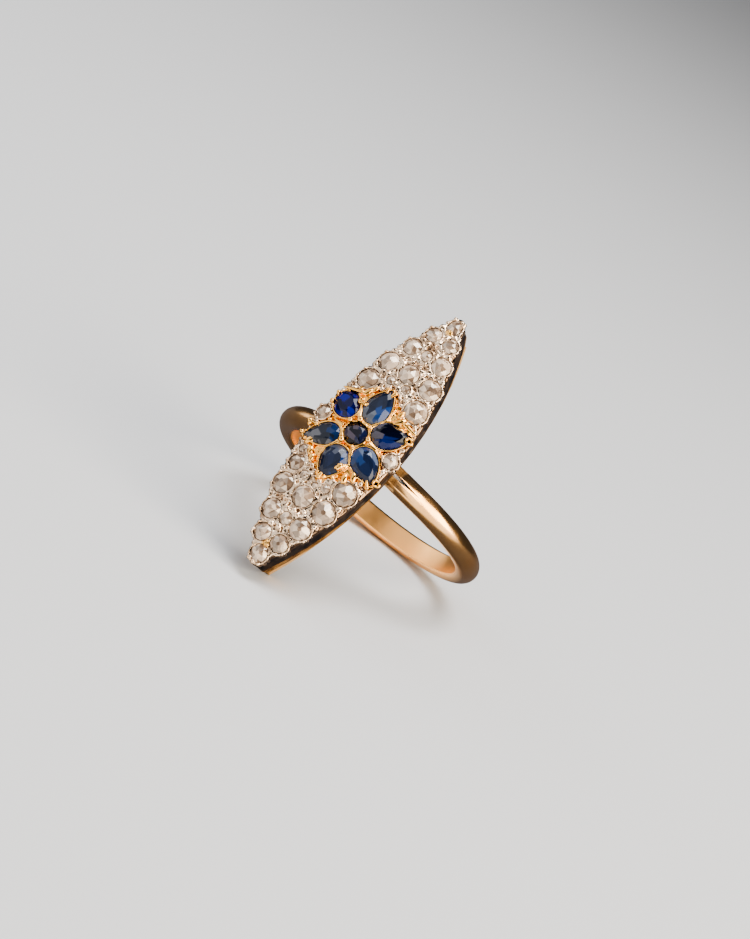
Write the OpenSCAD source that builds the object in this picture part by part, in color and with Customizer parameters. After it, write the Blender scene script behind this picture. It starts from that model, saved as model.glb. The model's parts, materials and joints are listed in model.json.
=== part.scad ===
// Navette ring: a gold hoop with split shoulders and an open gallery, a long pointed
// silver setting of rose-cut diamonds, and a gold flower of seven sapphires.
// Lengths are in millimetres. The ring lies as it would by itself, on the rim at one
// end of its head and on the foot of its hoop. The origin is the middle of the finger hole.

/* [Hoop] */
// Radius of the finger hole
finger_radius = 8.5; // [7.8:0.1:9.5]
// Radius of the rounded outside of the hoop's section
section_radius = 0.98; // [0.85:0.01:1.1]
// Thickness of the hoop, from its flat inside to its crown
hoop_thickness = 1.62; // [1.4:0.02:1.8]
// Angle from the head at which each shoulder leaves the circle and runs straight
shoulder_angle = 37; // [34:1:40]
// Length of the straight run of each shoulder, before its end is trimmed to the rim
shoulder_length = 4.4; // [4.3:0.05:4.6]
// Length of the slit that splits each shoulder, of which the head hides the end
slit_length = 3.6; // [2.8:0.1:3.7]
// Width of the slit where it ends under the head
slit_width = 0.62; // [0.3:0.02:0.7]

/* [Head] */
// Height of the top of the head above the middle of the finger hole
head_height = 13.4; // [13:0.1:14]
// Radius of the head's curve from tip to tip
along_radius = 55; // [45:1:80]
// Radius of the head's curve from side to side
across_radius = 8.5; // [8:0.5:12]
// Half the length of the silver wall at its top
wall_half_length = 12; // [11.9:0.05:12.2]
// Half the width of the silver wall at its top, which the diamonds' cups overhang
wall_half_width = 3.65; // [3.55:0.05:3.8]
// Depth of the foot of the silver wall below the head's curve
wall_depth = 1.95; // [1.8:0.05:2.2]
// Thickness of the silver wall and of the gold gallery
wall_thickness = 0.42; // [0.35:0.01:0.5]

/* [Gallery] */
// Half the length of the gallery's rim
rim_half_length = 11.8; // [11.5:0.05:12]
// Half the width of the gallery's rim
rim_half_width = 3.2; // [3:0.05:3.4]
// Depth of the foot of the rim below the head's curve
rim_depth = 3.6; // [3.4:0.1:3.8]
// Height of the rim's thicker edge
rim_height = 0.26; // [0.2:0.02:0.4]
// How far the rim's edge stands out of the gallery's wall
rim_lip = 0.12; // [0.05:0.01:0.2]
// Half the width of the blunt end at each tip
tip_half_width = 0.45; // [0.35:0.05:0.6]

/* [Diamonds] */
// Height of a diamond's crown as a share of its radius
crown_share = 0.5; // [0.4:0.05:0.6]
// Depth of a diamond below its girdle as a share of its radius
base_share = 0.35; // [0.25:0.05:0.45]
// Width of the silver round each diamond
seat_rim = 0.2; // [0.15:0.01:0.25]
// Depth of a diamond's cup below the head's curve, on the head's middle line
seat_depth = 1.25; // [1.15:0.05:1.3]
// Thickness of the silver floor that carries the cups
floor_thickness = 0.32; // [0.25:0.01:0.4]
// Radius of the beads that hold the diamonds
bead_radius = 0.17; // [0.12:0.01:0.2]

/* [Flower] */
// Radius of the middle sapphire
middle_radius = 0.92; // [0.8:0.02:0.96]
// Distance from the head's middle to the middle of each end petal
end_petal_reach = 2.8; // [2.7:0.02:2.9]
// Distance from the head's middle to the middle of each side petal
side_petal_reach = 2.66; // [2.6:0.02:2.8]
// Angle of the side petals from the line across the finger
side_petal_angle = 34.5; // [32:0.5:37]
// Width of the gold round each petal
petal_rim = 0.2; // [0.15:0.01:0.25]
// Depth of the flower's underside below the head's curve
flower_depth = 0.82; // [0.78:0.02:0.86]

/* [Hidden] */
// Space between neighbouring pieces
gap = 0.04;

// Rows of diamonds on the half of the head that points away and up.
// Columns: distance from the middle, distance of the edge diamonds from the middle
// line, then the radii of the left, right and middle diamonds, 0 for none.
UPPER_ROWS = [
    [4.15, 2.36, 0.88, 0.94, 0],
    [6.22, 2.03, 0.84, 0.88, 0.82],
    [8.26, 1.42, 0.74, 0.78, 0.46],
    [10.06, 0.82, 0.64, 0.63, 0],
];
// Rows of diamonds on the half of the head that rests on the surface, same columns
LOWER_ROWS = [
    [4.15, 2.36, 0, 0.94, 0],
    [6.2, 2.03, 0.86, 0.92, 0.86],
    [8.26, 1.42, 0.8, 0.84, 0.52],
    [10.06, 0.84, 0.71, 0.72, 0],
];
// Distance from the middle of the head to the diamond at each tip
TIP_REACH = 11.5;
// Radii of the tip diamonds, and how much longer than wide they are
UPPER_TIP = [0.56, 1.3];
LOWER_TIP = [0.7, 1.05];
// Diamonds that stand in no row, most of them small ones between the flower and the rows.
// Columns: name, distance across, distance along, radius.
ODD_DIAMONDS = [
    ["diamond_lower_1_left", -2.25, -4.35, 0.66],
    ["diamond_small_upper_left", -0.8, 5.0, 0.36],
    ["diamond_small_upper_right", 0.62, 5.1, 0.36],
    ["diamond_small_lower_left", -1.05, -4.82, 0.36],
    ["diamond_small_lower_middle", 0.15, -5.0, 0.26],
    ["diamond_small_lower_right", 0.98, -4.72, 0.38],
    ["diamond_small_flower_left", -2.62, -3.22, 0.32],
];
// Distance and radius of the two diamonds beside the flower
SIDE_REACH = 3.38;
SIDE_RADIUS = 0.6;

// Petals of the flower.
// Columns: name, angle, distance, half length, half width, pointed or not.
PETALS = [
    ["sapphire_petal_top", 90, end_petal_reach, 1.6, 1.03, true],
    ["sapphire_petal_top_right", side_petal_angle, side_petal_reach, 1.52, 1.04, true],
    ["sapphire_petal_low_right", -side_petal_angle, side_petal_reach, 1.5, 1.05, true],
    ["sapphire_petal_low", -90, end_petal_reach, 1.45, 1.06, true],
    ["sapphire_petal_low_left", 180 + side_petal_angle, side_petal_reach, 1.48, 0.95, true],
    ["sapphire_petal_top_left", 180 - side_petal_angle, side_petal_reach, 1.2, 1.04, false],
];

// Corners between each end petal and its neighbours, where the gold is filled in
CORNER_ANGLES = [
    for (end = [90, -90])
    for (side = [-1, 1])
        end + side * (90 - side_petal_angle) / 2
];
corner_reach = 2.95;
corner_radius = 0.6;
corner_sides = 10;
// Claws: radius, height of the tip, width of the tip as a share of the foot's, reach
// and depth of the foot, how far the pair stands apart at a pointed and at a round
// petal, how far in from the petal's end, and how far each is turned
claw_radius = 0.16;
claw_rise = 0.13;
claw_taper = 0.8;
claw_foot_reach = 0.2;
claw_foot_depth = 0.1;
claw_spread_pointed = 0.34;
claw_spread_round = 0.5;
claw_inset = 0.1;
claw_turn = 20;

// Corners of a diamond's girdle and of a sapphire's
diamond_sides = 12;
sapphire_sides = 16;
// Steps along each side of the head's outline
outline_steps = 14;
// A diamond no larger than this has no beads of its own and no hole behind it
small_radius = 0.5;

// How far the foot of the silver wall stands out from its top
foot_flare = 0.1;
// Depth of the top of the silver wall below the head's curve
wall_top_depth = 0.3;
// Depth of the silver floor's top, and the share of the head's fall to the sides that
// the floor follows
floor_depth = flower_depth + 0.13;
floor_fall = 0.7;
// How far the flower's plates stand above the girdles of their sapphires
plate_height = 0.03;
// Widths of a faceted stone's rings, as shares of its girdle's
diamond_base_width = 0.8;
diamond_crown_width = 0.66;
diamond_table_width = 0.22;
sapphire_base_width = 0.5;
sapphire_crown_width = 0.84;
sapphire_table_width = 0.6;
// Depth and heights of a sapphire's rings, as shares of its half width
sapphire_base = 0.62;
sapphire_girdle = 0.08;
sapphire_crown = 0.2;
sapphire_table = 0.34;
// Radius of the beads round the middle sapphire, and how far they stand from its edge
flower_bead_radius = 0.2;
flower_bead_reach = 0.36;
// Width of a cup's foot as a share of its mouth's, and how far its mouth stands up
seat_foot_share = 0.74;
seat_lip = 0.02;
// Height of the beads on a cup's mouth, and half the angle between two of them
bead_lift = 0.06;
bead_spread = 34;
// Widths of the holes behind the stones, as shares of the stone above
diamond_hole_share = 0.55;
petal_hole_share = 0.42;
middle_hole_share = 0.5;
// How far the flower's room in the silver is open upwards
room_height = 1.5;
// Corners of the claws and the small beads
bead_sides = 6;
// Space between a shoulder's trimmed end and the inside of the gallery
shoulder_overlap = 0.05;
// Radii of the foot and the top of the flower's middle plate
middle_plate_foot = 1.9;
middle_plate_top = middle_radius + 0.2;

// Middle of the hoop's rounded section, from the middle of the finger hole
section_reach = finger_radius + hoop_thickness - section_radius;

// Where the shoulders are trimmed, measured across from the middle
shoulder_trim = rim_half_width - rim_lip - wall_thickness - shoulder_overlap;

// The lowest corner of the rim at the resting end, and the tilt that lays it and the
// hoop on one flat surface
rest_corner_y = -rim_half_length;
rest_corner_z = head_height - rim_depth - drop(0, rim_half_length);
rest_lean = atan2(-rest_corner_y, rest_corner_z + section_reach)
    - asin(section_radius / norm([rest_corner_y, rest_corner_z + section_reach]));
rest_tilt = 90 - rest_lean;

function row_diamonds(half, side, rows) = [
    for (i = [0:len(rows) - 1])
    for (column = [-1, 1, 0])
    let (row = rows[i], radius = row[column == -1 ? 2 : column == 1 ? 3 : 4])
    if (radius > 0) [
        str("diamond_", half, "_", i + 1, column == -1 ? "_left" : column == 1 ? "_right" : "_middle"),
        column * row[1],
        side * row[0],
        radius,
    ]
];

// All the diamonds but the tips: name, distance across, distance along, radius
ROUND_DIAMONDS = concat(
    row_diamonds("upper", 1, UPPER_ROWS),
    row_diamonds("lower", -1, LOWER_ROWS),
    ODD_DIAMONDS,
    [["diamond_side_left", -SIDE_REACH, 0, SIDE_RADIUS], ["diamond_side_right", SIDE_REACH, 0, SIDE_RADIUS]]
);
TIP_DIAMONDS = [["diamond_upper_tip", TIP_REACH, UPPER_TIP], ["diamond_lower_tip", -TIP_REACH, LOWER_TIP]];

// How far the head's curve has dropped at a place on it
function drop(x, y) = x * x / (2 * across_radius) + y * y / (2 * along_radius);

// A pointed outline of two arcs with blunt ends, run round once against the clock
function lens(half_length, half_width) = let (
    swell = half_width - tip_half_width,
    r = (half_length * half_length + swell * swell) / (2 * swell),
    end = asin(half_length / r)
) concat(
    [for (i = [0:outline_steps]) let (t = -end + 2 * end * i / outline_steps)
        [r * cos(t) - r + half_width, r * sin(t)]],
    [for (i = [0:outline_steps]) let (t = end - 2 * end * i / outline_steps)
        [r - half_width - r * cos(t), r * sin(t)]]
);

// Outlines of the silver wall's top, of its foot and of the gallery's rim, set in by an amount
function wall_outline(inset) = lens(wall_half_length - inset, wall_half_width - inset);
function foot_outline(inset) = wall_outline(inset - foot_flare);
function rim_outline(inset) = lens(rim_half_length - inset, rim_half_width - inset);

// An outline set at a depth below the head's lengthwise curve
function level(outline, depth) = [for (p = outline) [p[0], p[1], head_height - depth - drop(0, p[1])]];

// An outline shrunk towards the middle and set at a depth below the head's curve, of
// which the fall to the sides is taken in part or whole
function domed(outline, share, depth, fall) = [
    for (p = outline)
        [p[0] * share, p[1] * share, head_height - depth - drop(fall * p[0] * share, p[1] * share)]
];

// Points round a gem, stretched along Y if it is an oval
function round_outline(radius, sides, stretch = 1) = [
    for (i = [0:sides - 1]) radius * [cos(360 * i / sides), stretch * sin(360 * i / sides)]
];

// Points round a drop-shaped gem that points along +X
function drop_outline(half_length, half_width, sides) = [
    for (i = [0:sides - 1]) let (t = 360 * i / sides)
        [half_length * cos(t), 1.22 * half_width * sin(t) * pow(abs(sin(t / 2)), 0.7)]
];

// Every second point of an outline, shrunk and raised
function facet_ring(outline, share, z) = [
    for (i = [0:2:len(outline) - 1]) [outline[i][0] * share, outline[i][1] * share, z]
];
function girdle_ring(outline, share, z) = [for (p = outline) [p[0] * share, p[1] * share, z]];

// A solid skinned over rings of equal count; closed rings join the last to the first
module skin(rings, looped) {
    n = len(rings[0]);
    last = len(rings) - 1;
    sides = [
        for (k = [0:looped ? last : last - 1])
        for (i = [0:n - 1])
        let (j = (i + 1) % n, up = (k + 1) % (last + 1))
        each [[k * n + i, up * n + j, up * n + i], [k * n + i, k * n + j, up * n + j]]
    ];
    caps = looped ? [] : [[for (i = [n - 1:-1:0]) i], [for (i = [0:n - 1]) last * n + i]];
    polyhedron(points = [for (r = rings) each r], faces = concat(sides, caps));
}

// The convex solid round a set of points, for a cut stone or a seat
module facets(rings) {
    points = [for (r = rings) each r];
    hull()
        polyhedron(points = points, faces = [[for (i = [0:len(points) - 1]) i]]);
}

// Sets its children on the head's curve at an angle and reach from its middle
module at_angle(angle, reach) {
    on_head(reach * cos(angle), reach * sin(angle))
        rotate([0, 0, angle])
            children();
}

// Sets its children on the head's curve, square to it
module on_head(x, y) {
    translate([x, y, head_height - drop(x, y)])
        rotate([-atan(y / along_radius), atan(x / across_radius), 0])
            children();
}

// Turns the ring from upright to the way it lies
module at_rest() {
    rotate([rest_tilt, 0, 0])
        children();
}

// The hoop's section: round outside, flat inside, with its middle at the origin
module hoop_section() {
    flat = section_reach - finger_radius;
    intersection() {
        circle(section_radius, $fn = 64);
        translate([-flat, -section_radius - 1])
            square([flat + section_radius + 1, 2 * section_radius + 2]);
    }
}

module hoop() {
    rotate([90, 0, 0])
        rotate([0, 0, 90 + shoulder_angle])
            rotate_extrude(angle = 360 - 2 * shoulder_angle, $fn = 128)
                translate([section_reach, 0])
                    hoop_section();
}

// The straight run of one shoulder, split by a narrow slit that widens to the head,
// and trimmed flush with the inside of the rim
module shoulder() {
    difference() {
        rotate([0, shoulder_angle, 0])
            translate([0, 0, section_reach])
                difference() {
                    rotate([0, -90, 0])
                        linear_extrude(shoulder_length)
                            hoop_section();
                    translate([0, 0, -hoop_thickness])
                        linear_extrude(2 * hoop_thickness)
                            polygon([
                                [slit_length - shoulder_length, 0],
                                [-shoulder_length - 1, slit_width / 2],
                                [-shoulder_length - 1, -slit_width / 2],
                            ]);
                }
        translate([shoulder_trim - 2 * finger_radius, -finger_radius, 0])
            cube(2 * finger_radius);
    }
}

// The gold wall under the silver, with a thicker rim round its foot
module gallery() {
    skin([
        level(foot_outline(0), wall_depth + gap),
        level(rim_outline(rim_lip), rim_depth - rim_height),
        level(rim_outline(0), rim_depth - rim_height + rim_lip),
        level(rim_outline(0), rim_depth),
        level(rim_outline(rim_lip + wall_thickness), rim_depth),
        level(foot_outline(wall_thickness), wall_depth + gap),
    ], true);
}

module gold_shank() {
    color("#d6a05c")
        at_rest() {
            hoop();
            shoulder();
            mirror([1, 0, 0])
                shoulder();
            gallery();
        }
}

// A diamond: flat back, six-sided crown and a small table
module rose_cut(outline, radius) {
    facets([
        girdle_ring(outline, diamond_base_width, -base_share * radius),
        girdle_ring(outline, 1, 0),
        facet_ring(outline, diamond_crown_width, diamond_crown_width * crown_share * radius),
        facet_ring(outline, diamond_table_width, crown_share * radius),
    ]);
}

module round_diamond(d) {
    on_head(d[1], d[2])
        rose_cut(round_outline(d[3], diamond_sides), d[3]);
}

module tip_diamond(d) {
    on_head(0, d[1])
        rose_cut(round_outline(d[2][0], diamond_sides, d[2][1]), d[2][0]);
}

// The silver cup of one diamond, wider at its mouth
module seat(radius, depth, stretch = 1) {
    mouth = round_outline(radius + seat_rim, diamond_sides, stretch);
    facets([girdle_ring(mouth, seat_foot_share, -depth), girdle_ring(mouth, 1, seat_lip)]);
}

// Two beads on the rim of a seat, either side of a direction
module bead_pair(radius, direction) {
    for (side = [-1, 1])
        rotate([0, 0, direction + side * bead_spread])
            translate([radius + seat_rim / 2, 0, bead_lift])
                sphere(bead_radius, $fn = bead_sides);
}

// What a diamond takes out of the silver: itself with a little room, and a hole below
module seat_cut(radius, stretch = 1) {
    pocket = round_outline(radius + gap, diamond_sides, stretch);
    facets([girdle_ring(pocket, 1, -base_share * radius - gap), girdle_ring(pocket, 1, 1)]);
    if (radius > small_radius)
        facets([for (z = [-seat_depth - 1, 0]) facet_ring(pocket, diamond_hole_share, z)]);
}

// The silver wall round the head, and the thin floor that carries the seats
module silver_wall() {
    skin([
        domed(wall_outline(0), 1, wall_top_depth, 1),
        level(foot_outline(0), wall_depth),
        level(foot_outline(wall_thickness), wall_depth),
        domed(wall_outline(wall_thickness), 1, wall_top_depth, 1),
    ], true);
}

module silver_floor() {
    outline = wall_outline(wall_thickness / 2);
    bottom = floor_depth + floor_thickness;
    skin([
        for (share = [0.25, 0.6, 1]) domed(outline, share, floor_depth, floor_fall),
        for (share = [1, 0.6, 0.25]) domed(outline, share, bottom, floor_fall),
    ], false);
}

// The room that the flower takes in the silver, and the holes behind its sapphires
module flower_room() {
    flower_blocks(gap, room_height);
    flower_claws(gap);
    flower_holes();
}

module silver_setting() {
    color("#b9b5ad")
        at_rest()
            difference() {
                union() {
                    silver_wall();
                    silver_floor();
                    for (d = ROUND_DIAMONDS)
                        on_head(d[1], d[2]) {
                            seat(d[3], seat_depth - 0.6 * drop(d[1], 0));
                            if (d[3] > small_radius && d[1] != 0)
                                bead_pair(d[3], d[1] > 0 ? 0 : 180);
                        }
                    for (d = TIP_DIAMONDS)
                        on_head(0, d[1]) {
                            seat(d[2][0], seat_depth, d[2][1]);
                            bead_pair(d[2][0] * d[2][1], d[1] > 0 ? 90 : -90);
                        }
                }
                for (d = ROUND_DIAMONDS)
                    on_head(d[1], d[2])
                        seat_cut(d[3]);
                for (d = TIP_DIAMONDS)
                    on_head(0, d[1])
                        seat_cut(d[2][0], d[2][1]);
                flower_room();
            }
}

function petal_outline(p, room) = p[5]
    ? drop_outline(p[3] + room, p[4] + room, sapphire_sides)
    : [for (q = round_outline(p[4] + room, sapphire_sides)) [q[0] * (p[3] + room) / (p[4] + room), q[1]]];

module at_petal(p) {
    at_angle(p[1], p[2])
        children();
}

module petal_block(p, room, above, below) {
    at_petal(p)
        facets([
            girdle_ring(petal_outline(p, room), 1, -below),
            girdle_ring(petal_outline(p, room), 1, above),
        ]);
}

// A sapphire: table, crown facets, girdle and a tapering back
module step_cut(outline, radius) {
    facets([
        girdle_ring(outline, sapphire_base_width, -sapphire_base * radius),
        girdle_ring(outline, 1, -sapphire_girdle * radius),
        girdle_ring(outline, 1, 0),
        facet_ring(outline, sapphire_crown_width, sapphire_crown * radius),
        girdle_ring(outline, sapphire_table_width, sapphire_table * radius),
    ]);
}

module petal(p) {
    at_petal(p)
        step_cut(petal_outline(p, 0), p[4]);
}

module sapphire_middle() {
    color("#1d2f6f")
        at_rest()
            on_head(0, 0)
                step_cut(round_outline(middle_radius, diamond_sides), middle_radius);
}

// The flower's gold without its claws: a plate round each petal, one in the middle and
// one in each corner between an end petal and its neighbours
module flower_blocks(room, above) {
    corner_outline = round_outline(corner_radius + room, corner_sides);
    for (p = PETALS)
        petal_block(p, petal_rim + room, above, flower_depth + room);
    on_head(0, 0)
        facets([
            girdle_ring(round_outline(middle_plate_foot + room, sapphire_sides), 1, -flower_depth - room),
            girdle_ring(round_outline(middle_plate_top + room, sapphire_sides), 1, above + plate_height),
        ]);
    for (angle = CORNER_ANGLES)
        at_angle(angle, corner_reach)
            facets([
                girdle_ring(corner_outline, 1, -flower_depth - room),
                girdle_ring(corner_outline, 0.8, above + 2 * plate_height),
            ]);
}

// A claw that leans towards the flower's middle
module claw(room) {
    hull() {
        translate([-claw_radius, 0, claw_rise])
            sphere(claw_radius * claw_taper + room, $fn = bead_sides);
        translate([claw_foot_reach, 0, -claw_foot_depth])
            sphere(claw_radius + room, $fn = bead_sides);
    }
}

// Two claws at the outer end of each petal
module flower_claws(room) {
    for (p = PETALS)
        for (side = [-1, 1])
            at_petal(p)
                translate([p[3] - claw_inset, side * (p[5] ? claw_spread_pointed : claw_spread_round), 0])
                    rotate([0, 0, side * claw_turn])
                        claw(room);
}

// Holes that let light in behind the sapphires
module flower_holes() {
    middle = round_outline(middle_radius, diamond_sides);
    for (p = PETALS)
        at_petal(p)
            facets([for (z = [-2, 0]) facet_ring(petal_outline(p, 0), petal_hole_share, z)]);
    on_head(0, 0)
        facets([for (z = [-2, 0]) facet_ring(middle, middle_hole_share, z)]);
}

// Beads between the petals and the middle sapphire
module flower_beads() {
    for (angle = concat(CORNER_ANGLES, [0, 180]))
        at_angle(angle, middle_radius + flower_bead_reach)
            sphere(flower_bead_radius, $fn = bead_sides);
}

module gold_flower() {
    color("#e0a24a")
        at_rest()
            difference() {
                union() {
                    flower_blocks(0, plate_height);
                    flower_claws(0);
                    flower_beads();
                }
                for (p = PETALS)
                    at_petal(p)
                        step_cut(petal_outline(p, gap), p[4] + gap);
                on_head(0, 0)
                    step_cut(round_outline(middle_radius + gap, diamond_sides), middle_radius + gap);
                flower_holes();
            }
}

gold_shank();
silver_setting();
gold_flower();
sapphire_middle();
for (p = PETALS)
    color("#1c3f92")
            at_rest()
                petal(p);
for (d = TIP_DIAMONDS)
    color("#e3ded6")
            at_rest()
                tip_diamond(d);
for (d = ROUND_DIAMONDS)
    color("#e3ded6")
            at_rest()
                round_diamond(d);
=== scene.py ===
# Navette ring: an old gold ring whose long pointed head holds rose-cut diamonds in
# silver round a gold flower of seven sapphires. Shapes are made in millimetres, in the
# ring's own upright frame, and then laid down in metres as the ring rests.
import json
import math
import random

import bmesh
import bpy
from mathutils import Matrix, Vector


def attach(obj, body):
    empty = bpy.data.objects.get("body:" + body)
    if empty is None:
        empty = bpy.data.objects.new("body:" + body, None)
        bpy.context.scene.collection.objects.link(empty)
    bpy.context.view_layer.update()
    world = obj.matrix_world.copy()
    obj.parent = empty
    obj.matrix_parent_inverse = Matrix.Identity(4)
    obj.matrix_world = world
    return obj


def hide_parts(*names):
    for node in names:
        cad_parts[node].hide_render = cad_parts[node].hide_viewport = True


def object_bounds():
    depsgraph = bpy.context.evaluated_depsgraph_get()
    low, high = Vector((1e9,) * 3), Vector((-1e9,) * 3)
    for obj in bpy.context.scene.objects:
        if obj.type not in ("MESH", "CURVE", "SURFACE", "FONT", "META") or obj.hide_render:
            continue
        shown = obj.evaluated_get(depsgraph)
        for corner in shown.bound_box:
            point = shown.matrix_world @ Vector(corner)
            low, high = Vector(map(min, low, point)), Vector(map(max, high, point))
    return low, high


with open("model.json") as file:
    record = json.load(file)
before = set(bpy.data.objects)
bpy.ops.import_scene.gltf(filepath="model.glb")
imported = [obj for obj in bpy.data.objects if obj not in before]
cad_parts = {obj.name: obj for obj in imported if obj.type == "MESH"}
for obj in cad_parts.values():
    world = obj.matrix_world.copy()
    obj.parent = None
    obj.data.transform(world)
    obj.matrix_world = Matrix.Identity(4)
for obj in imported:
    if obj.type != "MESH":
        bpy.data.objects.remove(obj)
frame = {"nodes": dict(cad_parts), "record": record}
cad_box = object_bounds()
record = frame["record"]

# How the ring lies: the finger hole's axis leans up from the surface
finger_axis = record["mounts"][0]["axis"]
REST_TILT = math.atan2(finger_axis[2], finger_axis[1])
# A millimetre in metres
MM = 0.001
TO_ROOM = Matrix.Rotation(REST_TILT, 4, "X") @ Matrix.Scale(MM, 4)

# Finger hole, in millimetres
FINGER_RADIUS = 8.5

# Slit in each shoulder, in millimetres: where its narrow end lies, how it leans, how
# long it is and half its width where it meets the head
SHOULDER_ANGLE = math.radians(37)
SLIT_POINT = (5.45, 8.56)
SLIT_RUN = 4.6
SLIT_HALF_WIDTH = 0.31

# Head, in millimetres: its height over the middle of the finger hole, the radii of its
# curves, half the width of its tips, the middle sapphire's radius, half the wall's sizes
# and how far below the head's curve the gold rim starts and ends
HEAD_HEIGHT = 13.4
ALONG_RADIUS = 55
ACROSS_RADIUS = 8.5
TIP_HALF_WIDTH = 0.45
MIDDLE_RADIUS = 0.92
WALL_HALF_LENGTH = 12
WALL_HALF_WIDTH = 3.65
RIM_TOP = 3.3
RIM_FOOT = 3.66

# Diamonds. Columns: distance from the middle, distance of the edge diamonds from the
# middle line, radii of the left, right and middle diamonds
UPPER_ROWS = [
    (4.15, 2.36, 0.88, 0.94, 0),
    (6.22, 2.03, 0.84, 0.88, 0.82),
    (8.26, 1.42, 0.74, 0.78, 0.46),
    (10.06, 0.82, 0.64, 0.63, 0),
]
LOWER_ROWS = [
    (4.15, 2.36, 0, 0.94, 0),
    (6.2, 2.03, 0.86, 0.92, 0.86),
    (8.26, 1.42, 0.8, 0.84, 0.52),
    (10.06, 0.84, 0.71, 0.72, 0),
]
# Diamonds in no row: place across and along the head, radius
ODD_DIAMONDS = [
    (-2.25, -4.35, 0.66),
    (-0.8, 5.0, 0.36),
    (0.62, 5.1, 0.36),
    (-1.05, -4.82, 0.36),
    (0.15, -5.0, 0.26),
    (0.98, -4.72, 0.38),
    (-2.62, -3.22, 0.32),
    (-3.38, 0, 0.6),
    (3.38, 0, 0.6),
    (0, 11.5, 0.64),
    (0, -11.5, 0.72),
]
# Petals: node, angle, reach, half length, half width, pointed or not
PETALS = [
    ("sapphire_petal_top", 90, 2.8, 1.6, 1.03, True),
    ("sapphire_petal_top_right", 34.5, 2.66, 1.52, 1.04, True),
    ("sapphire_petal_low_right", -34.5, 2.66, 1.5, 1.05, True),
    ("sapphire_petal_low", -90, 2.8, 1.45, 1.06, True),
    ("sapphire_petal_low_left", 214.5, 2.66, 1.48, 0.95, True),
    ("sapphire_petal_top_left", 145.5, 2.66, 1.2, 1.04, False),
]


def diamond_places():
    places = []
    for side, rows in ((1, UPPER_ROWS), (-1, LOWER_ROWS)):
        for along, across, left, right, middle in rows:
            for x, radius in ((-across, left), (across, right), (0, middle)):
                if radius:
                    places.append((x, side * along, radius))
    return places + ODD_DIAMONDS


DIAMONDS = diamond_places()


def drop(x, y):
    # How far the head's curve has fallen at a place
    return x * x / (2 * ACROSS_RADIUS) + y * y / (2 * ALONG_RADIUS)


def on_head(x, y, rise=0.0, turn=0.0):
    # Places a shape on the head's curve, square to it
    place = Matrix.Translation((x, y, HEAD_HEIGHT - drop(x, y)))
    lean = Matrix.Rotation(math.atan(x / ACROSS_RADIUS), 4, "Y")
    fall = Matrix.Rotation(-math.atan(y / ALONG_RADIUS), 4, "X")
    return place @ lean @ fall @ Matrix.Rotation(turn, 4, "Z") @ Matrix.Translation((0, 0, rise))


def beside(x, y, reach, angle):
    # The place at a distance and an angle from another place
    return x + reach * math.cos(angle), y + reach * math.sin(angle)


def arc_radius(half_length, half_width):
    # The radius of the two arcs that make a long outline with narrow tips
    swell = half_width - TIP_HALF_WIDTH
    return (half_length * half_length + swell * swell) / (2 * swell)


# Size of the picture, in pixels
IMAGE_SIZE = (750, 939)
# The camera's axes in the ring's own frame
CAMERA_RIGHT = Vector((0.7528, 0.6438, -0.1372))
CAMERA_DOWN = Vector((0.5642, -0.7385, -0.3693))
CAMERA_FORWARD = Vector((-0.3391, 0.2006, -0.9191))
# How far the camera stands from the head's middle, in millimetres
CAMERA_DISTANCE = 200
# How many pixels a millimetre of the head takes up, and where its middle shows
PIXELS_PER_MM = 13.3
HEAD_PIXEL = (355.7, 433.7)
# Width of the camera's sensor, in millimetres
SENSOR = 36
# Nearest and furthest that the camera sees, in metres
CAMERA_NEAREST = 0.001
CAMERA_FURTHEST = 20


def add_camera():
    data = bpy.data.cameras.new("camera")
    camera = bpy.data.objects.new("camera", data)
    bpy.context.scene.collection.objects.link(camera)
    turn = Matrix.Rotation(REST_TILT, 4, "X")
    right, down, forward = (turn @ v for v in (CAMERA_RIGHT, CAMERA_DOWN, CAMERA_FORWARD))
    place = TO_ROOM @ Vector((0, 0, HEAD_HEIGHT)) - forward.normalized() * CAMERA_DISTANCE * MM
    axes = Matrix((right.normalized(), -down.normalized(), -forward.normalized()))
    camera.matrix_world = Matrix.Translation(place) @ axes.transposed().to_4x4()
    data.sensor_width = SENSOR
    data.lens = PIXELS_PER_MM * CAMERA_DISTANCE / IMAGE_SIZE[1] * SENSOR
    data.shift_x = (IMAGE_SIZE[0] / 2 - HEAD_PIXEL[0]) / IMAGE_SIZE[1]
    data.shift_y = (HEAD_PIXEL[1] - IMAGE_SIZE[1] / 2) / IMAGE_SIZE[1]
    data.clip_start = CAMERA_NEAREST
    data.clip_end = CAMERA_FURTHEST
    bpy.context.scene.camera = camera
    return camera


camera = add_camera()


# Nodes that the finishes share
def new_group(name, inputs, outputs):
    group = bpy.data.node_groups.new(name, "ShaderNodeTree")
    for label, kind, value in inputs:
        socket = group.interface.new_socket(label, in_out="INPUT", socket_type=kind)
        socket.default_value = value
    for label, kind in outputs:
        group.interface.new_socket(label, in_out="OUTPUT", socket_type=kind)
    nodes = group.nodes
    return group, nodes.new("NodeGroupInput"), nodes.new("NodeGroupOutput")


def math_node(tree, operation, a, b=None):
    node = tree.nodes.new("ShaderNodeMath")
    node.operation = operation
    for socket, value in zip(node.inputs, (a, b)):
        if value is None:
            continue
        if isinstance(value, (int, float)):
            socket.default_value = value
        else:
            tree.links.new(value, socket)
    return node.outputs[0]


def total(tree, a, b):
    return math_node(tree, "ADD", a, b)


def difference(tree, a, b):
    return math_node(tree, "SUBTRACT", a, b)


def product(tree, a, b):
    return math_node(tree, "MULTIPLY", a, b)


def rest_of(tree, share):
    return difference(tree, 1, share)


def average(tree, a, b):
    return product(tree, total(tree, a, b), 0.5)


def size_of(tree, value):
    return math_node(tree, "ABSOLUTE", value)


def square(tree, value):
    return math_node(tree, "POWER", size_of(tree, value), 2)


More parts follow.
